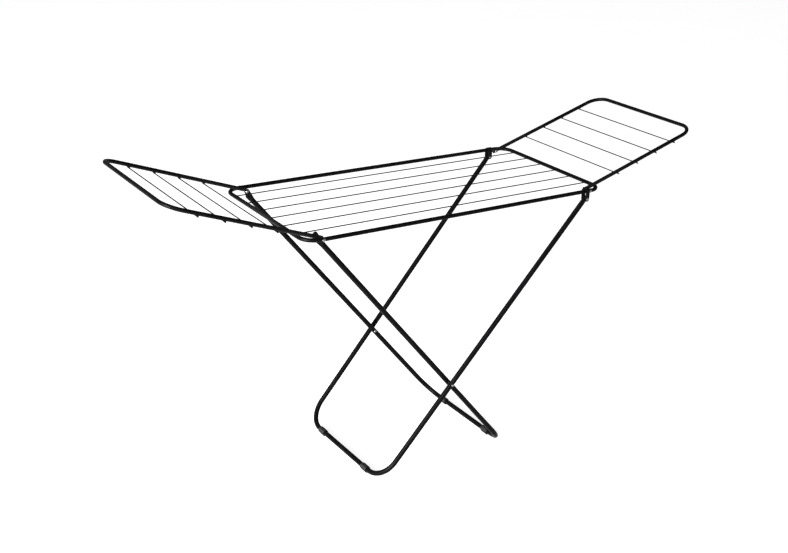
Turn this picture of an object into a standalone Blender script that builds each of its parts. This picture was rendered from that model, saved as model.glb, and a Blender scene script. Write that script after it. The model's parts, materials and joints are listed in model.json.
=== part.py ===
"""Winged clothes drying rack: a wire-laid top frame, two lift-up wings and two crossing leg frames.

Metres, +Z up. X runs along the length of the rack and Y across it. The origin is on the floor
under the middle of the rack. "Near" is the -Y side and "far" is the +Y side.
"""

import math

import bmesh
import bpy
from mathutils import Matrix, Vector

GAP = 0.0003  # clearance between pieces that touch

# Top frame
FRAME_LENGTH = 1.030  # between the axes of the two end tubes
FRAME_WIDTH = 0.490  # between the axes of the two side tubes
FRAME_HEIGHT = 0.836  # axis of the frame tube above the floor
FRAME_CORNER = 0.045
FRAME_TUBE_RADIUS = 0.006
TUBE_WALL = 0.001
FRAME_SEAM = 0.0006  # butt seam of the bent tube, over an inner sleeve
SLEEVE_RADIUS = 0.0045
SLEEVE_LENGTH = 0.040
WIRE_RADIUS = 0.0017
FRAME_WIRES = 6
FRAME_WIRE_SPACING = 0.071
FRAME_WIRE_RISE = 0.001  # wire axis above the axis of the frame tube
WIRE_OVERHANG = 0.002

# Wings
LEFT_WING_ANGLE = math.radians(19.3)
RIGHT_WING_ANGLE = math.radians(17.5)
WING_PIVOT_X = 0.4645
WING_HALF_WIDTH = 0.226
WING_REACH = 0.458  # from the pivot to the axis of the outer bar
WING_TAIL = 0.008
WING_CORNER = 0.050
WING_WIRES = 4
WING_FIRST_WIRE = 0.132
WING_WIRE_SPACING = 0.079
PLUG_CAP = 0.002
PLUG_STEM_RADIUS = 0.0045
PLUG_STEM = 0.0045

# Legs
LEG_TUBE_RADIUS = 0.008
LEG_PIN_X = 0.4515
LEG_PIN_DROP = 0.022  # pins below the axis of the frame tube
LEG_FOOT_X = 0.234
LEG_BAR_HEIGHT = 0.0115
LEG_CORNER = 0.075
OUTER_LEG_TOP_MARGIN = 0.008  # tube beyond the pin
INNER_LEG_TOP_MARGIN = 0.015
OUTER_LEG_FOOT_HALF_WIDTH = 0.222  # its tops are as wide as the side tubes
INNER_LEG_HALF_WIDTH = 0.2112
CLIP_FROM_BEND = 0.018  # middle of the clip to where the bar starts to bend
CLIP_LENGTH = 0.030
CLIP_RADIUS = 0.0106
CLIP_RIB = 0.0009
CLIP_SOLE_HALF_WIDTH = 0.005

# Hangers and rivets
STRAP_WIDTH = 0.015
STRAP_THICKNESS = 0.0015
STRAP_BELOW_PIN = 0.0085
SLIDE_CLEARANCE = 0.0005  # between a side tube and the back of a sliding hanger
SLIDE_CHEEK_CLEARANCE = 0.0007  # between a leg and the cheeks of a sliding hanger
PLATE_HALF_WIDTH = 0.0085
RIVET_RADIUS = 0.0025
RIVET_HEAD_RADIUS = 0.0048
RIVET_HEAD = 0.0021
BORE_RADIUS = 0.0028
SPACER_RADIUS = 0.0050

TUBE_SIDES = 12
WIRE_SIDES = 8
ROUND_SIDES = 12
CORNER_STEPS = 6

PIN_Z = FRAME_HEIGHT - LEG_PIN_DROP
LEG_ANGLE = math.atan2(PIN_Z - LEG_BAR_HEIGHT, LEG_PIN_X + LEG_FOOT_X)
LEG_UPPER = LEG_PIN_X / math.cos(LEG_ANGLE)  # scissor pivot to top pin
LEG_LOWER = LEG_FOOT_X / math.cos(LEG_ANGLE)  # scissor pivot to foot bar
SCISSOR_Z = PIN_Z - LEG_UPPER * math.sin(LEG_ANGLE)
SIDE_Y = FRAME_WIDTH / 2
OUTER_LEG_LEAN = (SIDE_Y - OUTER_LEG_FOOT_HALF_WIDTH) / (LEG_UPPER + LEG_LOWER)
CROSS_HALF_WIDTH = SIDE_Y - OUTER_LEG_LEAN * LEG_UPPER  # outer leg at the scissor pivot
PLATE_OUTER_Y = INNER_LEG_HALF_WIDTH - LEG_TUBE_RADIUS - GAP
SIDES = (("near", -1), ("far", 1))


def clear_scene():
    for item in list(bpy.data.objects):
        bpy.data.objects.remove(item, do_unlink=True)


def material(name, colour, roughness, metallic):
    made = bpy.data.materials.new(name)
    made.use_nodes = True
    shader = made.node_tree.nodes["Principled BSDF"]
    shader.inputs["Base Color"].default_value = (*colour, 1.0)
    shader.inputs["Roughness"].default_value = roughness
    shader.inputs["Metallic"].default_value = metallic
    return made


def frame_paint():
    return material("black_powder_coat", (0.022, 0.022, 0.024), 0.38, 0.0)


def wire_paint():
    return material("black_wire_coat", (0.020, 0.020, 0.022), 0.42, 0.0)


def black_plastic():
    return material("black_plastic", (0.018, 0.018, 0.018), 0.55, 0.0)


def strap_paint():
    return material("black_strap_coat", (0.026, 0.026, 0.028), 0.40, 0.0)


def rivet_steel():
    return material("bright_rivet_steel", (0.62, 0.62, 0.63), 0.28, 1.0)


def spacer_plastic():
    return material("black_spacer_plastic", (0.016, 0.016, 0.016), 0.50, 0.0)


def empty(name, location, rotation=(0.0, 0.0, 0.0)):
    made = bpy.data.objects.new(name, None)
    made.location = location
    made.rotation_euler = rotation
    bpy.context.scene.collection.objects.link(made)
    return made


def link(name, mesh, parent, paint, location=(0.0, 0.0, 0.0), rotation=(0.0, 0.0, 0.0)):
    made = bpy.data.objects.new(name, mesh)
    bpy.context.scene.collection.objects.link(made)
    made.parent = parent
    made.location = location
    made.rotation_euler = rotation
    mesh.materials.clear()
    mesh.materials.append(paint)
    mesh.shade_smooth()
    mesh.set_sharp_from_angle(angle=math.radians(50.0))
    return made


def mesh_from(name, bm):
    bmesh.ops.recalc_face_normals(bm, faces=bm.faces)
    mesh = bpy.data.meshes.new(name)
    bm.to_mesh(mesh)
    bm.free()
    return mesh


def filleted(corners, radius):
    """The path through the corners with each inner corner rounded to the radius."""
    points = [Vector(corners[0])]
    for before, corner, after in zip(corners, corners[1:], corners[2:]):
        corner = Vector(corner)
        back = (Vector(before) - corner).normalized()
        ahead = (Vector(after) - corner).normalized()
        half = back.angle(ahead) / 2
        centre = corner + (back + ahead).normalized() * radius / math.sin(half)
        start = corner + back * radius / math.tan(half) - centre
        turn = math.pi - 2 * half
        normal = start.cross(corner - centre).normalized()
        for step in range(CORNER_STEPS + 1):
            angle = turn * step / CORNER_STEPS
            points.append(centre + start * math.cos(angle) + normal.cross(start) * math.sin(angle))
    points.append(Vector(corners[-1]))
    return points


def swept_mesh(name, points, radius, sides, caps):
    """The mesh of a curve with a round bevel along the points."""
    curve = bpy.data.curves.new(name, "CURVE")
    curve.dimensions = "3D"
    curve.twist_mode = "MINIMUM"
    curve.bevel_depth = radius
    curve.bevel_resolution = (sides - 4) // 2
    curve.use_fill_caps = caps
    spline = curve.splines.new("POLY")
    spline.points.add(len(points) - 1)
    for point, place in zip(spline.points, points):
        point.co = (*place, 1.0)
    guide = bpy.data.objects.new(name, curve)
    bpy.context.scene.collection.objects.link(guide)
    bpy.context.view_layer.update()
    mesh = bpy.data.meshes.new_from_object(guide)
    bpy.data.objects.remove(guide, do_unlink=True)
    bm = bmesh.new()
    bm.from_mesh(mesh)
    bmesh.ops.remove_doubles(bm, verts=bm.verts, dist=1e-6)
    return mesh_from(name, bm)


def tube(name, points, radius, parent, paint):
    """A hollow tube with open ends along the points."""
    made = link(name, swept_mesh(name, points, radius, TUBE_SIDES, False), parent, paint)
    wall = made.modifiers.new("wall", "SOLIDIFY")
    wall.thickness = TUBE_WALL
    wall.offset = -1.0
    return made


def rod(name, start, end, radius, sides, parent, paint):
    return link(name, swept_mesh(name, [Vector(start), Vector(end)], radius, sides, True), parent, paint)


def turned_mesh(name, profile, closed):
    """The solid of revolution about Y of a profile of (radius, y) points."""
    bm = bmesh.new()
    verts = [bm.verts.new((radius, y, 0.0)) for radius, y in profile]
    edges = [bm.edges.new(pair) for pair in zip(verts, verts[1:])]
    if closed:
        edges.append(bm.edges.new((verts[-1], verts[0])))
    bmesh.ops.spin(
        bm,
        geom=verts + edges,
        cent=(0.0, 0.0, 0.0),
        axis=(0.0, 1.0, 0.0),
        angle=2 * math.pi,
        steps=ROUND_SIDES,
        use_merge=True,
    )
    bmesh.ops.remove_doubles(bm, verts=bm.verts, dist=1e-6)
    return mesh_from(name, bm)


def ring(name, inner, outer, y_from, y_to, parent, paint, location):
    profile = [(inner, y_from), (outer, y_from), (outer, y_to), (inner, y_to)]
    return link(name, turned_mesh(name, profile, True), parent, paint, location)


def rivet(name, y_from, y_to, parent, paint, location):
    """A rivet along Y that clamps everything between y_from and y_to, with a domed head at each end."""
    low, high = min(y_from, y_to), max(y_from, y_to)
    head = [(1.0, 0.0), (0.92, 0.45), (0.60, 0.85), (0.0, 1.0)]
    profile = [(RIVET_HEAD_RADIUS * r, high + RIVET_HEAD * y) for r, y in reversed(head)]
    profile.append((RIVET_RADIUS, high))
    profile.append((RIVET_RADIUS, low))
    profile += [(RIVET_HEAD_RADIUS * r, low - RIVET_HEAD * y) for r, y in head]
    return link(name, turned_mesh(name, profile, False), parent, paint, location)


def bore(target, location, radius, length):
    """Cuts a round hole along Y through the target, at a place in the frame of the target's parent."""
    bm = bmesh.new()
    bmesh.ops.create_cone(
        bm, cap_ends=True, segments=ROUND_SIDES, radius1=radius, radius2=radius, depth=length
    )
    half_side = Matrix.Rotation(math.pi / ROUND_SIDES, 3, "Z")
    along_y = Matrix.Rotation(-math.pi / 2, 3, "X")
    bmesh.ops.rotate(bm, verts=bm.verts, matrix=along_y @ half_side)
    cutter = bpy.data.objects.new(target.name + "_cutter", mesh_from("cutter", bm))
    bpy.context.scene.collection.objects.link(cutter)
    cutter.parent = target.parent
    cutter.location = location
    cutter.hide_render = True
    cutter.display_type = "WIRE"
    cut = target.modifiers.new("bore", "BOOLEAN")
    cut.operation = "DIFFERENCE"
    cut.solver = "EXACT"
    cut.object = cutter


def strap(name, inner_radius, arch_z, parent, paint, location):
    """A steel strip bent over the side tube, both cheeks reaching down past a pin at the strap's origin."""
    outer_radius = inner_radius + STRAP_THICKNESS
    outline = [(outer_radius, -STRAP_BELOW_PIN)]
    for step in range(13):
        angle = math.pi * step / 12
        outline.append((outer_radius * math.cos(angle), arch_z + outer_radius * math.sin(angle)))
    outline.append((-outer_radius, -STRAP_BELOW_PIN))
    outline.append((-inner_radius, -STRAP_BELOW_PIN))
    for step in range(13):
        angle = math.pi * (1 - step / 12)
        outline.append((inner_radius * math.cos(angle), arch_z + inner_radius * math.sin(angle)))
    outline.append((inner_radius, -STRAP_BELOW_PIN))
    bm = bmesh.new()
    verts = [bm.verts.new((-STRAP_WIDTH / 2, y, z)) for y, z in outline]
    face = bm.faces.new(verts)
    pushed = bmesh.ops.extrude_face_region(bm, geom=[face])
    moved = [item for item in pushed["geom"] if isinstance(item, bmesh.types.BMVert)]
    bmesh.ops.translate(bm, verts=moved, vec=(STRAP_WIDTH, 0.0, 0.0))
    made = link(name, mesh_from(name, bm), parent, paint, location)
    bore(made, location, BORE_RADIUS, 4 * outer_radius)
    return made


def build_top_frame(paints):
    body = empty("top_frame", (0.0, 0.0, FRAME_HEIGHT))
    half_length = FRAME_LENGTH / 2
    corners = [
        (-half_length, -FRAME_SEAM / 2, 0.0),
        (-half_length, -SIDE_Y, 0.0),
        (half_length, -SIDE_Y, 0.0),
        (half_length, SIDE_Y, 0.0),
        (-half_length, SIDE_Y, 0.0),
        (-half_length, FRAME_SEAM / 2, 0.0),
    ]
    frame = tube("top_frame_tube", filleted(corners, FRAME_CORNER), FRAME_TUBE_RADIUS, body, paints["frame"])
    rod(
        "frame_joint_sleeve",
        (-half_length, -SLEEVE_LENGTH / 2, 0.0),
        (-half_length, SLEEVE_LENGTH / 2, 0.0),
        SLEEVE_RADIUS,
        TUBE_SIDES,
        body,
        paints["wire"],
    )
    wire_end = half_length - FRAME_TUBE_RADIUS - GAP
    for index in range(FRAME_WIRES):
        y = (index - (FRAME_WIRES - 1) / 2) * FRAME_WIRE_SPACING
        rod(
            f"frame_wire_{index + 1}",
            (-wire_end, y, FRAME_WIRE_RISE),
            (wire_end, y, FRAME_WIRE_RISE),
            WIRE_RADIUS,
            WIRE_SIDES,
            body,
            paints["wire"],
        )
    for end, end_sign in (("left", -1), ("right", 1)):
        for side, sign in SIDES:
            add_wing_pivot(frame, body, paints, f"{end}_{side}", end_sign, sign)
    for side, sign in SIDES:
        add_fixed_hanger(body, paints, side, sign)


def add_wing_pivot(frame, body, paints, tag, end_sign, sign):
    """The rivet that carries a wing tube, and the spacer that holds it off the side tube."""
    x = end_sign * WING_PIVOT_X
    outer_y = SIDE_Y + FRAME_TUBE_RADIUS + GAP
    inner_y = WING_HALF_WIDTH - FRAME_TUBE_RADIUS - GAP
    if end_sign < 0:
        inner_y = PLATE_OUTER_Y - STRAP_THICKNESS - GAP
    rivet(f"wing_rivet_{tag}", sign * outer_y, sign * inner_y, body, paints["rivet"], (x, 0.0, 0.0))
    spacer_from = sign * (SIDE_Y - FRAME_TUBE_RADIUS - 3 * GAP)
    spacer_to = sign * (WING_HALF_WIDTH + FRAME_TUBE_RADIUS + GAP)
    ring(
        f"wing_spacer_{tag}",
        BORE_RADIUS,
        SPACER_RADIUS,
        spacer_from,
        spacer_to,
        body,
        paints["spacer"],
        (x, 0.0, 0.0),
    )
    bore(frame, (x, sign * SIDE_Y, 0.0), BORE_RADIUS, 4 * FRAME_TUBE_RADIUS)


def plate_mesh(name, start, end, y_from, y_to):
    """A flat link in the XZ plane with round ends about two points."""
    lean = math.atan2(end[1] - start[1], end[0] - start[0])
    bm = bmesh.new()
    verts = []
    for (x, z), turn in ((end, lean - math.pi / 2), (start, lean + math.pi / 2)):
        for step in range(ROUND_SIDES + 1):
            angle = turn + math.pi * step / ROUND_SIDES
            spot = (x + PLATE_HALF_WIDTH * math.cos(angle), y_from, z + PLATE_HALF_WIDTH * math.sin(angle))
            verts.append(bm.verts.new(spot))
    pushed = bmesh.ops.extrude_face_region(bm, geom=[bm.faces.new(verts)])
    moved = [item for item in pushed["geom"] if isinstance(item, bmesh.types.BMVert)]
    bmesh.ops.translate(bm, verts=moved, vec=(0.0, y_to - y_from, 0.0))
    return mesh_from(name, bm)


def add_fixed_hanger(body, paints, side, sign):
    """The link plate on the wing's rivet, inside the inner leg, with the leg's rivet and its spacer."""
    pivot = (-WING_PIVOT_X, 0.0)
    pin = (-LEG_PIN_X, -LEG_PIN_DROP)
    inner_y = PLATE_OUTER_Y - STRAP_THICKNESS
    mesh = plate_mesh(f"fixed_hanger_{side}", pivot, pin, sign * inner_y, sign * PLATE_OUTER_Y)
    plate = link(f"fixed_hanger_{side}", mesh, body, paints["strap"])
    for x, z in (pivot, pin):
        bore(plate, (x, sign * PLATE_OUTER_Y, z), BORE_RADIUS, 8 * STRAP_THICKNESS)
    leg_outside = INNER_LEG_HALF_WIDTH + LEG_TUBE_RADIUS + GAP
    clamp = inner_y - GAP
    axis = (-LEG_PIN_X, 0.0, -LEG_PIN_DROP)
    rivet(f"hanger_rivet_{side}", sign * leg_outside, sign * clamp, body, paints["strap"], axis)
    ring(
        f"hanger_spacer_{side}",
        BORE_RADIUS,
        SPACER_RADIUS,
        sign * (WING_HALF_WIDTH - FRAME_TUBE_RADIUS - GAP),
        sign * (PLATE_OUTER_Y + GAP),
        body,
        paints["spacer"],
        (-WING_PIVOT_X, 0.0, 0.0),
    )


def build_wing(name, end_sign, angle, paints):
    turn = 0.0 if end_sign > 0 else math.pi
    body = empty(name, (end_sign * WING_PIVOT_X, 0.0, FRAME_HEIGHT), (0.0, -angle, turn))
    corners = [
        (-WING_TAIL, -WING_HALF_WIDTH, 0.0),
        (WING_REACH, -WING_HALF_WIDTH, 0.0),
        (WING_REACH, WING_HALF_WIDTH, 0.0),
        (-WING_TAIL, WING_HALF_WIDTH, 0.0),
    ]
    made = tube(f"{name}_tube", filleted(corners, WING_CORNER), FRAME_TUBE_RADIUS, body, paints["frame"])
    for side, sign in SIDES:
        local = sign * end_sign
        bore(made, (0.0, local * WING_HALF_WIDTH, 0.0), BORE_RADIUS, 4 * FRAME_TUBE_RADIUS)
        add_end_plug(f"{name}_plug_{side}", body, paints, local * WING_HALF_WIDTH)
    wire_z = -(FRAME_TUBE_RADIUS + WIRE_RADIUS + GAP)
    wire_end = WING_HALF_WIDTH + FRAME_TUBE_RADIUS + WIRE_OVERHANG
    for index in range(WING_WIRES):
        x = WING_FIRST_WIRE + index * WING_WIRE_SPACING
        rod(
            f"{name}_wire_{index + 1}",
            (x, -wire_end, wire_z),
            (x, wire_end, wire_z),
            WIRE_RADIUS,
            WIRE_SIDES,
            body,
            paints["wire"],
        )


def add_end_plug(name, body, paints, y):
    """A plug pushed into the inner end of a wing tube, its domed cap against the tube's rim."""
    cap = FRAME_TUBE_RADIUS
    profile = [
        (0.0, PLUG_STEM),
        (PLUG_STEM_RADIUS, PLUG_STEM),
        (PLUG_STEM_RADIUS, -GAP),
        (cap, -GAP),
        (cap * 0.92, -PLUG_CAP * 0.6),
        (cap * 0.55, -PLUG_CAP),
        (0.0, -PLUG_CAP),
    ]
    mesh = turned_mesh(name, profile, False)
    link(name, mesh, body, paints["plastic"], (-WING_TAIL, y, 0.0), (0.0, 0.0, -math.pi / 2))


def build_leg(name, end_sign, half_width, lean, margin, paints):
    """A U of tube about the scissor pivot; its local X runs up the leg to the pins at its top.

    half_width is at the scissor pivot, and lean is how much it grows for each metre up the leg.
    """
    turn = 0.0 if end_sign > 0 else math.pi
    body = empty(name, (0.0, 0.0, SCISSOR_Z), (0.0, -LEG_ANGLE, turn))
    top = LEG_UPPER + margin
    top_y = half_width + lean * top
    foot_y = half_width - lean * LEG_LOWER
    corners = [(top, -top_y, 0.0), (-LEG_LOWER, -foot_y, 0.0), (-LEG_LOWER, foot_y, 0.0), (top, top_y, 0.0)]
    made = tube(f"{name}_tube", filleted(corners, LEG_CORNER), LEG_TUBE_RADIUS, body, paints["frame"])
    clip_y = foot_y - LEG_CORNER - CLIP_FROM_BEND
    for side, sign in SIDES:
        local = sign * end_sign
        for x in (0.0, LEG_UPPER):
            bore(made, (x, local * (half_width + lean * x), 0.0), BORE_RADIUS, 4 * LEG_TUBE_RADIUS)
        add_foot_clip(f"{name}_foot_{side}", body, paints, local * clip_y)
    return body


def add_foot_clip(name, body, paints, y):
    """A ribbed plastic sleeve on the foot bar, with a flat sole on the floor."""
    inner = LEG_TUBE_RADIUS + 2 * GAP
    half = CLIP_LENGTH / 2
    ribs = 3
    pitch = CLIP_LENGTH / (2 * ribs + 1)
    profile = [(inner, -half), (CLIP_RADIUS - CLIP_RIB, -half)]
    for index in range(ribs):
        start = -half + (2 * index + 1) * pitch
        profile.append((CLIP_RADIUS - CLIP_RIB, start - 0.1 * pitch))
        profile.append((CLIP_RADIUS, start + 0.2 * pitch))
        profile.append((CLIP_RADIUS, start + 0.8 * pitch))
        profile.append((CLIP_RADIUS - CLIP_RIB, start + 1.1 * pitch))
    profile += [(CLIP_RADIUS - CLIP_RIB, half), (inner, half)]
    place = (-LEG_LOWER, y, 0.0)
    upright = (0.0, LEG_ANGLE, 0.0)
    clip = link(name, turned_mesh(name, profile, True), body, paints["plastic"], place, upright)
    top = -(inner + 0.0004)
    bm = bmesh.new()
    bmesh.ops.create_cube(bm, size=1.0)
    bmesh.ops.scale(bm, verts=bm.verts, vec=(2 * CLIP_SOLE_HALF_WIDTH, CLIP_LENGTH - 0.004, LEG_BAR_HEIGHT + top))
    bmesh.ops.translate(bm, verts=bm.verts, vec=(0.0, 0.0, (top - LEG_BAR_HEIGHT) / 2))
    sole = bpy.data.objects.new(name + "_cutter", mesh_from("sole", bm))
    bpy.context.scene.collection.objects.link(sole)
    sole.parent = body
    sole.location = place
    sole.rotation_euler = upright
    sole.hide_render = True
    sole.display_type = "WIRE"
    joined = clip.modifiers.new("sole", "BOOLEAN")
    joined.operation = "UNION"
    joined.solver = "EXACT"
    joined.object = sole


def add_scissor_pivots(body, end_sign, paints):
    """The rivets at the crossing, with a washer between the two leg tubes."""
    outside = CROSS_HALF_WIDTH + LEG_TUBE_RADIUS + GAP
    inside = INNER_LEG_HALF_WIDTH - LEG_TUBE_RADIUS - GAP
    washer_from = CROSS_HALF_WIDTH - LEG_TUBE_RADIUS - 2 * GAP
    washer_to = INNER_LEG_HALF_WIDTH + LEG_TUBE_RADIUS + GAP
    for side, sign in SIDES:
        local = sign * end_sign
        rivet(f"scissor_rivet_{side}", local * outside, local * inside, body, paints["rivet"], (0.0, 0.0, 0.0))
        ring(
            f"scissor_washer_{side}",
            BORE_RADIUS,
            SPACER_RADIUS,
            local * washer_from,
            local * washer_to,
            body,
            paints["spacer"],
            (0.0, 0.0, 0.0),
        )


def build_sliding_hangers(paints):
    """The straps over the side tubes that carry the outer leg and slide as the rack folds."""
    body = empty("leg_hangers", (LEG_PIN_X, 0.0, PIN_Z))
    inner_radius = LEG_TUBE_RADIUS + SLIDE_CHEEK_CLEARANCE
    arch_z = LEG_PIN_DROP + FRAME_TUBE_RADIUS + SLIDE_CLEARANCE - inner_radius
    clamp = inner_radius + STRAP_THICKNESS + GAP
    for side, sign in SIDES:
        centre = sign * SIDE_Y
        strap(f"sliding_hanger_{side}", inner_radius, arch_z, body, paints["strap"], (0.0, centre, 0.0))
        outer, inner = centre + sign * clamp, centre - sign * clamp
        rivet(f"sliding_rivet_{side}", outer, inner, body, paints["rivet"], (0.0, 0.0, 0.0))


def main():
    clear_scene()
    paints = {
        "frame": frame_paint(),
        "wire": wire_paint(),
        "plastic": black_plastic(),
        "strap": strap_paint(),
        "rivet": rivet_steel(),
        "spacer": spacer_plastic(),
    }
    build_top_frame(paints)
    build_wing("wing_left", -1, LEFT_WING_ANGLE, paints)
    build_wing("wing_right", 1, RIGHT_WING_ANGLE, paints)
    inner = build_leg("leg_inner", -1, INNER_LEG_HALF_WIDTH, 0.0, INNER_LEG_TOP_MARGIN, paints)
    add_scissor_pivots(inner, -1, paints)
    build_leg("leg_outer", 1, CROSS_HALF_WIDTH, OUTER_LEG_LEAN, OUTER_LEG_TOP_MARGIN, paints)
    build_sliding_hangers(paints)


main()
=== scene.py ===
"""Looks of the winged clothes drying rack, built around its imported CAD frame."""

import json
import math

import bmesh
import bpy
from mathutils import Matrix, Vector, noise


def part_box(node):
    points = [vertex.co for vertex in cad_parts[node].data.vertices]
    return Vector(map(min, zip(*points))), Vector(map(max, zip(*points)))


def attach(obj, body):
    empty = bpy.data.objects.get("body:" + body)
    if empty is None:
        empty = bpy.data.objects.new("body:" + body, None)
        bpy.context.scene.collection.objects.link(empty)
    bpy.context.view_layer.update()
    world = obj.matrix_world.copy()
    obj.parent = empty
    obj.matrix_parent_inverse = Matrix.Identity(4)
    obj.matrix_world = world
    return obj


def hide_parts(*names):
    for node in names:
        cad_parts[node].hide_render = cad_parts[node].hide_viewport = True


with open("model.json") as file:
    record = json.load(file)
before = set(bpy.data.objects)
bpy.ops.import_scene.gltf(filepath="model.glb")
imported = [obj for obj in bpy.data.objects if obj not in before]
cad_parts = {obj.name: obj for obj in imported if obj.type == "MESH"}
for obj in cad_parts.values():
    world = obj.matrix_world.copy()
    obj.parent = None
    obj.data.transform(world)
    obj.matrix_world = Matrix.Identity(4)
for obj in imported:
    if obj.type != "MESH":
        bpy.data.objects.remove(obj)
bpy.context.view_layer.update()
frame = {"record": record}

MM = 0.001
SIDES = {"near": -1, "far": 1}
ENDS = {"left": -1, "right": 1}
ACROSS = Vector((0.0, 1.0, 0.0))
UP = Vector((0.0, 0.0, 1.0))

# Camera: its angles are measured from +Y towards +X, below the horizon and about the view.
CAMERA_PLACE = (-2.0077, -2.9041, 1.9874)
CAMERA_YAW = 0.5883
CAMERA_PITCH = 0.3865
CAMERA_ROLL = 0.0411
CAMERA_LENS = 56.513
CAMERA_SENSOR = 36.0

# Studio
WORLD_LIGHT = 0.32
FLOOR_HALF = 12.0
FLOOR_DROP = 0.5 * MM  # below the soles, so that the two never share a plane
FLOOR_GLOW = 0.80
KEY_POWER = 1000.0
FILL_POWER = 12.0

# How finely round shapes are drawn
TUBE_SIDES = 28
WIRE_SIDES = 12
TURN_SIDES = 40
CLIP_SIDES = 72
PLATE_SIDES = 48
CORNER_STEP = math.radians(5.0)

# Tubes, wires and their welds
TUBE_WALL = 1.0 * MM
FRAME_CORNER = 0.045
SEAM_HALF = 0.3 * MM
WING_CORNER = 0.050
WING_TAIL = 0.008  # how far a wing's tube runs on past its pivot
FACET_MARGIN = 0.15 * MM  # keeps a tilted round tube inside the CAD tube's facets
BEAD_SINK = 0.1 * MM
FRAME_BEAD = (3.2 * MM, 1.7 * MM, 2.5 * MM)  # half lengths of a weld bead
WING_BEAD = (4.2 * MM, 2.9 * MM, 1.7 * MM)

# Legs
LEG_R = 0.008
LEG_CORNER = 0.075
OUTER_FOOT_Y = 0.222  # half width of the outer leg at its foot; its tops are as wide as the side tubes
INNER_LEG_END = 0.015  # how far a leg's tubes run on past their pins
OUTER_LEG_END = 0.008
FLAT_LENGTH = 0.034  # flattened stretch at a leg's top
FLAT_FULL = 0.006  # its fully flat start
FLAT_FADE = FLAT_LENGTH - 0.008
FLAT_HALF = 0.0052
FLAT_WIDENING = 0.13
FLAT_STEPS = 14
ROUNDING = 0.0082  # length of the rounded end of a leg
TIP_SHARE = 0.18  # share of the width that is left at the very tip

# Foot clips
CLIP_STATIONS = 60
CLIP_RIBS = 3.5
CLIP_RIB_HEIGHT = 1.3 * MM
CLIP_CHAMFER = 0.5 * MM
CLIP_PLAY = 0.1 * MM
SOLE_HALF = 5.0 * MM
SOLE_LIFT = 0.8 * MM  # how far the sole is cut back at the clip's ends

# Hangers and fasteners
RIVET_HEAD = 2.1 * MM
RIVET_SHANK = 2.5 * MM
SPACER_BORE = 2.6 * MM
STRAP_THICKNESS = 1.5 * MM
STRAP_COLUMNS = 13
PRESSED_DEPTH = 0.35 * MM  # of the bead in a strap and the groove in a plate
EDGE_EASE = 0.3 * MM

# Colours
COAT_BLACK = ((0.0008, 0.0008, 0.0009), (0.0022, 0.0022, 0.0024))
STRAP_BLACK = ((0.0016, 0.0016, 0.0017), (0.0042, 0.0042, 0.0046))
PLASTIC_BLACK = ((0.0025, 0.0025, 0.0025), (0.0060, 0.0060, 0.0062))
ZINC = ((0.13, 0.13, 0.134), (0.24, 0.24, 0.245))
FLOOR_WHITE = ((0.48, 0.48, 0.48), (0.50, 0.50, 0.50))
RUBBED_COAT = (0.022, 0.022, 0.023, 1.0)
DUSTY_COAT = (0.012, 0.012, 0.013, 1.0)
WORN_PLASTIC = (0.020, 0.020, 0.021, 1.0)


# ---------------------------------------------------------------- places


def joint(name):
    for item in frame["record"]["behaviour"]["joints"]:
        if item["name"] == name:
            return Vector(item["pos_m"])
    raise KeyError(name)


def box(node):
    low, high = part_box(node)
    return Vector(low), Vector(high)


def middle(node):
    low, high = box(node)
    return (low + high) / 2


def extent(node):
    low, high = box(node)
    return high - low


FRAME_LOW, FRAME_HIGH = box("top_frame_tube")
FRAME_R = (FRAME_HIGH.z - FRAME_LOW.z) / 2
FRAME_Z = (FRAME_HIGH.z + FRAME_LOW.z) / 2
END_X = FRAME_HIGH.x - FRAME_R
SIDE_Y = FRAME_HIGH.y - FRAME_R
WING_R = FRAME_R - FACET_MARGIN
WIRE_R = extent("frame_wire_1").z / 2
INNER_Y = extent("leg_inner_tube").y / 2 - LEG_R
CROSS = joint("leg_scissor")


# ---------------------------------------------------------------- materials


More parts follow.
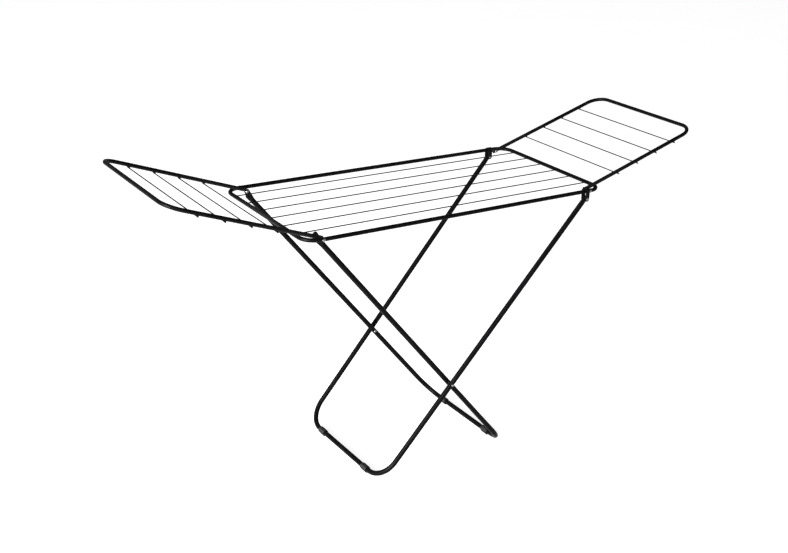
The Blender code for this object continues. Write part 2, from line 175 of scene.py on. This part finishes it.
class Nodes:
    """A short way to write a node tree."""

    def __init__(self, name):
        self.material = bpy.data.materials.new(name)
        self.material.use_nodes = True
        self.tree = self.material.node_tree
        self.shader = self.tree.nodes["Principled BSDF"]

    def add(self, kind, inputs=None, **settings):
        node = self.tree.nodes.new(kind)
        for key, value in settings.items():
            setattr(node, key, value)
        for key, value in (inputs or {}).items():
            self.plug(value, node.inputs[key])
        return node

    def plug(self, value, socket):
        if isinstance(value, bpy.types.NodeSocket):
            self.tree.links.new(value, socket)
        else:
            socket.default_value = value

    def object_place(self):
        return self.add("ShaderNodeTexCoord").outputs["Object"]

    def edges(self, low, high, most):
        """Rises to most where the mesh is convex."""
        pointiness = self.add("ShaderNodeNewGeometry").outputs["Pointiness"]
        return self.fit(pointiness, low, high, 0.0, most)

    def noise(self, coords, scale, detail=3.0, roughness=0.55):
        inputs = {"Vector": coords, "Scale": scale, "Detail": detail, "Roughness": roughness}
        return self.add("ShaderNodeTexNoise", inputs).outputs["Fac"]

    def ramp(self, value, low, high, colours):
        node = self.add("ShaderNodeValToRGB", {"Fac": value})
        for element, position, colour in zip(node.color_ramp.elements, (low, high), colours):
            element.position = position
            element.color = (*colour, 1.0)
        return node.outputs["Color"]

    def fit(self, value, low, high, to_low, to_high):
        inputs = {"Value": value, "From Min": low, "From Max": high, "To Min": to_low, "To Max": to_high}
        return self.add("ShaderNodeMapRange", inputs).outputs["Result"]

    def mix(self, factor, first, second):
        # The node has three sockets of each name; 6, 7 and output 2 are the colour ones.
        node = self.add("ShaderNodeMix", data_type="RGBA")
        self.plug(factor, node.inputs["Factor"])
        self.plug(first, node.inputs[6])
        self.plug(second, node.inputs[7])
        return node.outputs[2]

    def bump(self, height, strength, distance, below=None):
        inputs = {"Height": height, "Strength": strength, "Distance": distance}
        if below is not None:
            inputs["Normal"] = below
        return self.add("ShaderNodeBump", inputs).outputs["Normal"]

    def shade(self, **values):
        """Sets the shader's sockets; base_color stands for the socket Base Color."""
        for key, value in values.items():
            socket = key.replace("_", " ").title().replace("Ior", "IOR")
            self.plug(value, self.shader.inputs[socket])


def powder_coat(name, colours, rough_low, rough_high):
    """Satin powder coat: orange peel, fine grit, soft tone changes, dust and a thin rub on edges."""
    n = Nodes(name)
    coords = n.object_place()
    tone = n.noise(coords, 38.0, 4.0)
    peel = n.noise(coords, 900.0, 2.0, 0.5)
    grit = n.noise(coords, 3600.0, 2.0, 0.6)
    scuff = n.noise(coords, 140.0, 6.0, 0.75)
    colour = n.ramp(tone, 0.30, 0.72, colours)
    colour = n.mix(n.edges(0.56, 0.64, 0.35), colour, RUBBED_COAT)
    colour = n.mix(n.fit(scuff, 0.62, 0.80, 0.0, 0.16), colour, DUSTY_COAT)
    normal = n.bump(peel, 0.35, 0.00016)
    normal = n.bump(grit, 0.25, 0.00005, normal)
    rough = n.fit(scuff, 0.30, 0.75, rough_low, rough_high)
    n.shade(base_color=colour, roughness=rough, normal=normal, specular_ior_level=0.030)
    return n.material


def moulded_plastic(name):
    """Fine-grained moulded plastic with slightly duller patches and worn edges."""
    n = Nodes(name)
    coords = n.object_place()
    tone = n.noise(coords, 90.0, 3.0)
    grain = n.noise(coords, 2600.0, 3.0, 0.65)
    colour = n.ramp(tone, 0.32, 0.70, PLASTIC_BLACK)
    colour = n.mix(n.edges(0.55, 0.66, 0.30), colour, WORN_PLASTIC)
    normal = n.bump(grain, 0.30, 0.00009)
    rough = n.fit(tone, 0.30, 0.70, 0.46, 0.62)
    n.shade(base_color=colour, roughness=rough, normal=normal, specular_ior_level=0.16)
    return n.material


def plated_steel(name):
    """Zinc-plated rivet steel with fine die marks and faint dull spots."""
    n = Nodes(name)
    coords = n.object_place()
    spots = n.noise(coords, 420.0, 4.0, 0.7)
    marks = n.noise(coords, 2200.0, 2.0, 0.5)
    colour = n.ramp(spots, 0.30, 0.65, ZINC)
    normal = n.bump(marks, 0.20, 0.00004)
    rough = n.fit(spots, 0.30, 0.70, 0.34, 0.20)
    n.shade(base_color=colour, roughness=rough, metallic=1.0, normal=normal)
    return n.material


PAINT = {
    "frame": powder_coat("frame_powder_coat", COAT_BLACK, 0.34, 0.48),
    "wire": powder_coat("wire_powder_coat", COAT_BLACK, 0.40, 0.55),
    "strap": powder_coat("strap_powder_coat", STRAP_BLACK, 0.32, 0.46),
    "rivet": plated_steel("rivet_zinc"),
    "plastic": moulded_plastic("clip_plastic"),
    "spacer": moulded_plastic("spacer_plastic"),
}


# ---------------------------------------------------------------- mesh tools


def finish_piece(name, bm, body, slot, node, smooth=40.0):
    """Makes the mesh a visible piece that rides on the body in place of the CAD node."""
    bmesh.ops.recalc_face_normals(bm, faces=bm.faces)
    mesh = bpy.data.meshes.new(name)
    bm.to_mesh(mesh)
    bm.free()
    mesh.shade_smooth()
    mesh.set_sharp_from_angle(angle=math.radians(smooth))
    mesh.materials.append(PAINT[slot])
    piece = bpy.data.objects.new(name, mesh)
    bpy.context.scene.collection.objects.link(piece)
    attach(piece, body)
    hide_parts(node)
    return piece


def smoothstep(x):
    x = min(max(x, 0.0), 1.0)
    return x * x * (3 - 2 * x)


def filleted(corners, radius):
    """The path through the corners, each inner corner rounded to the radius."""
    points = [Vector(corners[0])]
    for before, corner, after in zip(corners, corners[1:], corners[2:]):
        corner = Vector(corner)
        back = (Vector(before) - corner).normalized()
        ahead = (Vector(after) - corner).normalized()
        half = back.angle(ahead) / 2
        centre = corner + (back + ahead).normalized() * radius / math.sin(half)
        start = corner + back * radius / math.tan(half) - centre
        turn = math.pi - 2 * half
        normal = start.cross(corner - centre).normalized()
        steps = math.ceil(turn / CORNER_STEP)
        for step in range(steps + 1):
            angle = turn * step / steps
            points.append(centre + start * math.cos(angle) + normal.cross(start) * math.sin(angle))
    points.append(Vector(corners[-1]))
    return points


def turns(count):
    return [2 * math.pi * i / count for i in range(count)]


def ellipse(half_across, half_up, sides=TUBE_SIDES):
    return [(half_across * math.cos(angle), half_up * math.sin(angle)) for angle in turns(sides)]


def skin(bm, low, high):
    """Faces between two closed rings of vertices, either of which may be a single point."""
    sides = max(len(low), len(high))
    for i in range(sides):
        j = (i + 1) % sides
        if len(low) == 1:
            bm.faces.new((low[0], high[i], high[j]))
        elif len(high) == 1:
            bm.faces.new((low[i], low[j], high[0]))
        else:
            bm.faces.new((low[i], low[j], high[j], high[i]))


def sweep(bm, points, ring_at, up, cap=True):
    """Skins rings along a flat path. ring_at(index) gives the ring as (across, up) pairs."""
    rings = []
    for index, point in enumerate(points):
        before = points[max(index - 1, 0)]
        after = points[min(index + 1, len(points) - 1)]
        first = (point - before).normalized() if index else Vector()
        second = (after - point).normalized() if index < len(points) - 1 else Vector()
        along = (first + second).normalized()
        across = up.cross(along).normalized()
        rings.append([bm.verts.new(point + across * a + up * b) for a, b in ring_at(index)])
    for low, high in zip(rings, rings[1:]):
        skin(bm, low, high)
    if cap:
        bm.faces.new(rings[0])
        bm.faces.new(list(reversed(rings[-1])))
    return rings


def turned(bm, profile, place, sign=1.0, closed=False):
    """A solid of revolution about the Y direction through place, of (radius, y) points."""
    rings = []
    for radius, y in profile:
        angles = turns(TURN_SIDES) if radius > 0.0 else [0.0]
        offsets = [Vector((radius * math.cos(a), sign * y, radius * math.sin(a))) for a in angles]
        rings.append([bm.verts.new(place + offset) for offset in offsets])
    for low, high in zip(rings, rings[1:]):
        skin(bm, low, high)
    if closed:
        skin(bm, rings[-1], rings[0])


def weld_bead(bm, place, axes, size, seed):
    """A small uneven weld bead where a wire meets a tube; size is its half length along each axis."""
    made = bmesh.ops.create_icosphere(bm, subdivisions=3, radius=1.0)
    turn = Matrix(axes).transposed()
    shift = Vector((seed * 3.7, 0.0, 0.0))
    for vert in made["verts"]:
        p = vert.co.copy()
        swell = 1.0 + 0.16 * noise.noise(p * 2.3 + shift)
        vert.co = place + turn @ (Vector([p[i] * size[i] for i in range(3)]) * swell)


# ---------------------------------------------------------------- frame and wings


def build_tube(name, points, radius, up, body, node):
    """A bent tube whose wall shows at its open ends."""
    bm = bmesh.new()
    outside = sweep(bm, points, lambda i: ellipse(radius, radius), up, cap=False)
    bore = radius - TUBE_WALL
    inside = sweep(bm, points, lambda i: ellipse(bore, bore), up, cap=False)
    for end in (0, -1):
        skin(bm, outside[end], inside[end])
    finish_piece(name, bm, body, "frame", node)


def wire_mesh(centre, along, half, up):
    """A straight wire, its clipped ends slightly rounded."""
    stops = [-half, -half + 0.4 * MM, -half + 1.0 * MM]
    stops += [half * (k / 10.0) * 0.98 for k in range(-9, 10)]
    stops += [half - 1.0 * MM, half - 0.4 * MM, half]

    def ring(index):
        from_end = min(index, len(stops) - 1 - index)
        radius = WIRE_R * (0.72, 0.93, 1.0)[min(from_end, 2)]
        return ellipse(radius, radius, WIRE_SIDES)

    bm = bmesh.new()
    sweep(bm, [centre + along * stop for stop in stops], ring, up)
    return bm


def build_top_frame():
    corners = [
        (-END_X, -SEAM_HALF, FRAME_Z),
        (-END_X, -SIDE_Y, FRAME_Z),
        (END_X, -SIDE_Y, FRAME_Z),
        (END_X, SIDE_Y, FRAME_Z),
        (-END_X, SIDE_Y, FRAME_Z),
        (-END_X, SEAM_HALF, FRAME_Z),
    ]
    path = filleted(corners, FRAME_CORNER)
    build_tube("frame_tube", path, FRAME_R, UP, "top_frame", "top_frame_tube")
    along = Vector((1.0, 0.0, 0.0))
    for number in range(1, 7):
        node = f"frame_wire_{number}"
        centre = middle(node)
        bm = wire_mesh(centre, along, extent(node).x / 2, UP)
        for sign in (-1, 1):
            place = Vector((sign * (END_X - FRAME_R + BEAD_SINK), centre.y, centre.z))
            weld_bead(bm, place, (ACROSS, -along, UP), FRAME_BEAD, number * 4 + sign)
        finish_piece(f"frame_line_{number}", bm, "top_frame", "wire", node, smooth=60.0)


def build_wing(side, sign):
    body = f"wing_{side}"
    tube = f"{body}_tube"
    pivot = joint(f"{body}_lift")
    out = (middle(f"{body}_wire_4") - middle(f"{body}_wire_1")).normalized()
    up = Vector((-out.z * sign, 0.0, abs(out.x)))
    half_width = extent(tube).y / 2 - FRAME_R
    tip = max(abs(corner.x) for corner in box(tube))
    reach = (tip - FRAME_R - abs(pivot.x)) / abs(out.x)
    corners = [
        pivot - out * WING_TAIL - ACROSS * half_width,
        pivot + out * reach - ACROSS * half_width,
        pivot + out * reach + ACROSS * half_width,
        pivot - out * WING_TAIL + ACROSS * half_width,
    ]
    build_tube(f"{body}_frame", filleted(corners, WING_CORNER), WING_R, up, body, tube)
    for number in range(1, 5):
        build_wing_wire(body, number, half_width, out, up)
    for tag, y_sign in SIDES.items():
        place = pivot + ACROSS * (y_sign * half_width) - out * WING_TAIL
        build_end_plug(body, tag, place, out)


def build_wing_wire(body, number, half_width, out, up):
    """A crosswise wire under the wing's side tubes, with a bead on each side of it at both."""
    node = f"{body}_wire_{number}"
    centre = middle(node)
    bm = wire_mesh(centre, ACROSS, extent(node).y / 2, up)
    for y_sign in (-1, 1):
        for x_sign in (-1, 1):
            place = centre + ACROSS * (y_sign * half_width) + out * (x_sign * 0.6 * WIRE_R)
            place += up * (WIRE_R + BEAD_SINK)
            axes = (out * x_sign, ACROSS * x_sign, up)
            weld_bead(bm, place, axes, WING_BEAD, number * 7 + y_sign * 3 + x_sign)
    finish_piece(f"{body}_line_{number}", bm, body, "wire", node, smooth=60.0)


def build_end_plug(body, tag, place, out):
    """A moulded plug with a rolled rim, pushed into the open inner end of a wing tube."""
    rim = [(0.0, -2.0), (0.30, -1.97), (0.62, -1.75), (0.86, -1.3), (0.97, -0.8), (0.985, -0.3)]
    stem = [(0.94, -0.05), (0.74, 0.0), (0.74, 3.6), (0.66, 4.3), (0.0, 4.3)]
    bm = bmesh.new()
    turned(bm, [(share * FRAME_R, y * MM) for share, y in rim + stem], Vector())
    turn = ACROSS.rotation_difference(out).to_matrix().to_4x4()
    bmesh.ops.transform(bm, matrix=Matrix.Translation(place) @ turn, verts=bm.verts)
    finish_piece(f"{body}_end_{tag}", bm, body, "plastic", f"{body}_plug_{tag}")


# ---------------------------------------------------------------- legs


def build_leg(name, pin, top_y, foot_y, end):
    """A U of tube whose two tops are pressed flatter round the pin holes and rounded off."""
    top = joint(pin)
    out = (top - CROSS).normalized()
    bar = CROSS + out * ((middle(f"{name}_foot_near").x - CROSS.x) / out.x)
    lean = (top_y - foot_y) / (top - bar).length

    def side(distance, y_sign):
        return top - out * distance + ACROSS * (y_sign * (top_y - lean * distance))

    corners = [side(-end, -1), bar - ACROSS * foot_y, bar + ACROSS * foot_y, side(-end, 1)]
    path = filleted(corners, LEG_CORNER)[1:-1]
    stops = [-end + step * MM for step in (0.1, 0.6, 1.5, 3.0)]
    stops += [FLAT_LENGTH * k / FLAT_STEPS - end + 5.0 * MM for k in range(FLAT_STEPS + 1)]
    stops.sort()
    points = [side(s, -1) for s in stops] + path + [side(s, 1) for s in reversed(stops)]
    distances = stops + [math.inf] * len(path) + stops[::-1]

    def ring(index):
        from_tip = distances[index] + end
        flat = 1.0 - smoothstep((from_tip - FLAT_FULL) / FLAT_FADE)
        beyond = max(ROUNDING - from_tip, 0.0)
        taper = math.sqrt(max(1.0 - (beyond / (ROUNDING * 1.005)) ** 2, 0.0))
        taper = max(taper, TIP_SHARE)
        thick = (LEG_R * (1 - flat) + FLAT_HALF * flat) * (1.0 - 0.35 * (1.0 - taper))
        wide = LEG_R * (1 + FLAT_WIDENING * flat) * taper
        return ellipse(thick, wide)

    bm = bmesh.new()
    sweep(bm, points, ring, out.cross(ACROSS).normalized())
    finish_piece(f"{name}_frame", bm, name, "frame", f"{name}_tube", smooth=60.0)


def clip_radius(y, half, radius):
    """The sleeve's radius at a place along it: a flared lip at each end and rounded ribs between."""
    edge = (half - abs(y)) / half
    waves = 0.5 + 0.5 * math.cos(math.pi * CLIP_RIBS * y / half)
    lip = smoothstep(1.0 - edge / 0.10)
    rib = max(0.85 * smoothstep(waves * 1.35 - 0.1) * (1 - lip), lip * 0.9)
    return radius - CLIP_RIB_HEIGHT + CLIP_RIB_HEIGHT * rib


def build_foot_clip(name, tag):
    """A ribbed sleeve round the foot bar, with a flat sole along its underside."""
    node = f"{name}_foot_{tag}"
    low, high = box(node)
    centre = (low + high) / 2
    radius = (high.x - low.x) / 2
    half = (high.y - low.y) / 2
    axis_z = high.z - radius
    sole = axis_z - low.z
    bm = bmesh.new()

    def ring(y, reach_at):
        made = []
        for angle in turns(CLIP_SIDES):
            x, z = math.sin(angle), -math.cos(angle)
            reach = reach_at(x, z)
            made.append(bm.verts.new((centre.x + reach * x, centre.y + y, axis_z + reach * z)))
        return made

    def outer_ring(station):
        y = -half + 2 * half * station / CLIP_STATIONS
        r = clip_radius(y, half, radius)
        r -= CLIP_CHAMFER if station in (0, CLIP_STATIONS) else 0.0
        depth = sole if 2 < station < CLIP_STATIONS - 2 else sole - SOLE_LIFT

        def reach_at(x, z):
            if z >= -0.5:
                return r
            return max(r, min(depth / -z, SOLE_HALF / max(abs(x), 1e-6)))

        return ring(y, reach_at)

    loops = [outer_ring(station) for station in range(CLIP_STATIONS + 1)]
    bore = LEG_R + CLIP_PLAY
    lead_in = bore + CLIP_CHAMFER
    for y, r in ((half, lead_in), (half - 0.6 * MM, bore), (-half + 0.6 * MM, bore), (-half, lead_in)):
        loops.append(ring(y, lambda x, z: r))
    for a, b in zip(loops, loops[1:] + loops[:1]):
        skin(bm, a, b)
    finish_piece(f"{name}_clip_{tag}", bm, name, "plastic", node, smooth=50.0)


# ---------------------------------------------------------------- hangers and fasteners


def build_rivet(node, body, name, slot="rivet"):
    """A rivet with a domed, rimmed head outside and a rolled tail with a dimple inside."""
    low, high = box(node)
    centre = (low + high) / 2
    half = (high.y - low.y) / 2
    head = (high.x - low.x) / 2
    dome = [
        (0.0, 0.0),
        (0.22, 0.02),
        (0.45, 0.14),
        (0.68, 0.48),
        (0.84, 0.98),
        (0.92, 1.35),
        (0.985, 1.50),
        (1.0, 1.72),
    ]
    tail = [(0.98, 1.55), (0.90, 1.0), (0.72, 0.45), (0.52, 0.05), (0.40, 0.10), (0.30, 0.75), (0.0, 1.0)]
    profile = [(share * head, half - depth * MM) for share, depth in dome]
    profile += [(0.97 * head, half - RIVET_HEAD + 0.02 * MM), (RIVET_SHANK, half - RIVET_HEAD)]
    profile += [(RIVET_SHANK, -half + RIVET_HEAD), (0.93 * head, -half + RIVET_HEAD - 0.02 * MM)]
    profile += [(share * head, -half + depth * MM) for share, depth in tail]
    bm = bmesh.new()
    turned(bm, profile, centre, 1.0 if centre.y > 0 else -1.0)
    finish_piece(name, bm, body, slot, node, smooth=50.0)


def build_spacer(node, body, name):
    """A washer-like spacer with eased edges and a shallow waist."""
    low, high = box(node)
    half = (high.y - low.y) / 2
    r = (high.x - low.x) / 2
    ease = min(0.4 * MM, half * 0.3)
    profile = [
        (SPACER_BORE, -half),
        (r - ease, -half),
        (r - 0.3 * ease, -half + 0.3 * ease),
        (r, -half + ease),
        (r - 0.12 * half, 0.0),
        (r, half - ease),
        (r - 0.3 * ease, half - 0.3 * ease),
        (r - ease, half),
        (SPACER_BORE, half),
    ]
    bm = bmesh.new()
    turned(bm, profile, (low + high) / 2, closed=True)
    finish_piece(name, bm, body, "spacer", node, smooth=50.0)


def build_strap(node, body, name):
    """A bent strip: two cheeks with round tongues about the pin, a round back and a pressed bead."""
    low, high = box(node)
    centre = (low + high) / 2
    radius = (high.y - low.y) / 2 - STRAP_THICKNESS / 2
    width = (high.x - low.x) / 2
    arch_z = high.z - radius - STRAP_THICKNESS / 2
    cheek = arch_z - low.z
    arc = math.pi * radius
    stops = [cheek * (k / 16) ** 1.35 for k in range(17)]
    stops += [cheek + arc * k / 20 for k in range(1, 20)]
    stops += [2 * cheek + arc - s for s in reversed(stops[:17])]
    bm = bmesh.new()
    rows = []
    for s in stops:
        from_tip = min(s, 2 * cheek + arc - s, cheek)
        if cheek < s < cheek + arc:
            angle = (s - cheek) / radius
            y, z = radius * math.cos(angle), arch_z + radius * math.sin(angle)
        else:
            y, z = radius if s <= cheek else -radius, low.z + from_tip
        short = max(width - from_tip, 0.0)
        half = math.sqrt(max(width * width - short * short, (0.12 * width) ** 2))
        bulge = PRESSED_DEPTH * smoothstep((from_tip - 0.55 * cheek) / (0.3 * cheek))
        row = []
        for column in range(STRAP_COLUMNS):
            t = 2 * column / (STRAP_COLUMNS - 1) - 1
            lift = bulge * math.exp(-((t / 0.28) ** 2))
            if z > arch_z:
                scale = (radius - lift) / radius
                spot = (y * scale, arch_z + (z - arch_z) * scale)
            else:
                spot = (y - math.copysign(lift, y), z)
            row.append(bm.verts.new((centre.x + half * t, centre.y + spot[0], spot[1])))
        rows.append(row)
    for a, b in zip(rows, rows[1:]):
        for c in range(STRAP_COLUMNS - 1):
            bm.faces.new((a[c], a[c + 1], b[c + 1], b[c]))
    piece = finish_piece(name, bm, body, "strap", node, smooth=50.0)
    shell = piece.modifiers.new("thickness", "SOLIDIFY")
    shell.thickness = STRAP_THICKNESS
    shell.offset = 0.0
    edge = piece.modifiers.new("eased_edge", "BEVEL")
    edge.width = EDGE_EASE
    edge.segments = 2
    edge.limit_method = "ANGLE"
    edge.angle_limit = math.radians(50.0)


def build_plate(node, body, name):
    """A flat link with round ends, eased edges and a shallow pressed groove along its middle."""
    low, high = box(node)
    half = (high.y - low.y) / 2
    centre_y = (low.y + high.y) / 2
    pivot = joint("wing_left_lift")
    pin = joint("frame_fold")
    along = (pin - pivot).normalized()
    across = Vector((-along.z, 0.0, along.x))
    radius = high.z - pivot.z - 0.1 * MM
    inner_half = [(half - PRESSED_DEPTH, 0.72), (half, 0.62), (half, 0.05), (half - 0.1 * MM, 0.015)]
    inner_half.append((half - EDGE_EASE, 0.0))
    bm = bmesh.new()
    loops = []
    for y, inset in inner_half + [(-y, inset) for y, inset in reversed(inner_half)]:
        r = radius * (1.0 - inset)
        loop = []
        for angle in turns(PLATE_SIDES):
            centre = pivot if math.cos(angle) < 0 else pin
            spot = centre + along * (r * math.cos(angle)) + across * (r * math.sin(angle))
            loop.append(bm.verts.new((spot.x, centre_y + y, spot.z)))
        loops.append(loop)
    for a, b in zip(loops, loops[1:]):
        skin(bm, a, b)
    bm.faces.new(loops[0])
    bm.faces.new(list(reversed(loops[-1])))
    finish_piece(name, bm, body, "strap", node, smooth=35.0)


def build_fasteners():
    for end in ENDS:
        for tag in SIDES:
            build_rivet(f"wing_rivet_{end}_{tag}", "top_frame", f"wing_pin_{end}_{tag}")
            build_spacer(f"wing_spacer_{end}_{tag}", "top_frame", f"wing_bush_{end}_{tag}")
    for tag in SIDES:
        build_rivet(f"hanger_rivet_{tag}", "top_frame", f"hanger_pin_{tag}", "strap")
        build_spacer(f"hanger_spacer_{tag}", "top_frame", f"hanger_bush_{tag}")
        build_rivet(f"scissor_rivet_{tag}", "leg_inner", f"scissor_pin_{tag}")
        build_spacer(f"scissor_washer_{tag}", "leg_inner", f"scissor_bush_{tag}")
        build_rivet(f"sliding_rivet_{tag}", "leg_hangers", f"sliding_pin_{tag}")
        build_plate(f"fixed_hanger_{tag}", "top_frame", f"fixed_plate_{tag}")
        build_strap(f"sliding_hanger_{tag}", "leg_hangers", f"sliding_strap_{tag}")


def paint_sleeve():
    """The sleeve inside the frame's seam keeps its CAD mesh and only takes the paint."""
    materials = bpy.data.objects["frame_joint_sleeve"].data.materials
    materials.clear()
    materials.append(PAINT["wire"])


# ---------------------------------------------------------------- studio


def floor_material():
    n = Nodes("studio_floor")
    colour = n.ramp(n.noise(n.object_place(), 1.5, 2.0), 0.3, 0.7, FLOOR_WHITE)
    n.shade(base_color=colour, roughness=0.95, specular_ior_level=0.0)
    n.shade(emission_color=(1.0, 1.0, 1.0, 1.0), emission_strength=FLOOR_GLOW)
    return n.material


def build_floor():
    bm = bmesh.new()
    bmesh.ops.create_grid(bm, x_segments=8, y_segments=8, size=FLOOR_HALF)
    mesh = bpy.data.meshes.new("studio_floor")
    bm.to_mesh(mesh)
    bm.free()
    mesh.materials.append(floor_material())
    floor = bpy.data.objects.new("studio_floor", mesh)
    floor.location = (0.0, 0.0, -FLOOR_DROP)
    bpy.context.scene.collection.objects.link(floor)


def area_light(name, place, target, size, power):
    data = bpy.data.lights.new(name, "AREA")
    data.shape = "RECTANGLE"
    data.size, data.size_y = size
    data.energy = power
    light = bpy.data.objects.new(name, data)
    light.location = place
    light.rotation_euler = (Vector(target) - Vector(place)).to_track_quat("-Z", "Y").to_euler()
    bpy.context.scene.collection.objects.link(light)


def build_lights():
    world = bpy.data.worlds.new("studio_world")
    world.use_nodes = True
    back = world.node_tree.nodes["Background"]
    back.inputs["Color"].default_value = (1.0, 1.0, 1.0, 1.0)
    back.inputs["Strength"].default_value = WORLD_LIGHT
    bpy.context.scene.world = world
    bpy.context.scene.view_settings.view_transform = "Standard"
    area_light("key", (-4.0, -1.2, 1.3), (0.0, 0.0, 0.6), (1.6, 1.6), KEY_POWER)
    area_light("fill", (2.8, -2.4, 2.4), (0.0, 0.0, 0.5), (2.0, 1.6), FILL_POWER)


def build_camera():
    level = Vector((math.sin(CAMERA_YAW), math.cos(CAMERA_YAW), 0.0))
    forward = level * math.cos(CAMERA_PITCH) - UP * math.sin(CAMERA_PITCH)
    right = forward.cross(UP).normalized()
    up = right.cross(forward)
    rolled_right = right * math.cos(CAMERA_ROLL) + up * math.sin(CAMERA_ROLL)
    rolled_up = up * math.cos(CAMERA_ROLL) - right * math.sin(CAMERA_ROLL)
    data = bpy.data.cameras.new("camera")
    data.sensor_width = CAMERA_SENSOR
    data.lens = CAMERA_LENS
    camera = bpy.data.objects.new("camera", data)
    axes = Matrix((rolled_right, rolled_up, -forward)).transposed()
    camera.matrix_world = Matrix.Translation(CAMERA_PLACE) @ axes.to_4x4()
    bpy.context.scene.collection.objects.link(camera)
    bpy.context.scene.camera = camera


build_top_frame()
for wing_side, wing_sign in ENDS.items():
    build_wing(wing_side, wing_sign)
build_leg("leg_inner", "frame_fold", INNER_Y, INNER_Y, INNER_LEG_END)
build_leg("leg_outer", "hanger_turn", SIDE_Y, OUTER_FOOT_Y, OUTER_LEG_END)
for leg in ("leg_inner", "leg_outer"):
    for leg_tag in SIDES:
        build_foot_clip(leg, leg_tag)
build_fasteners()
paint_sleeve()
build_floor()
build_lights()
build_camera()
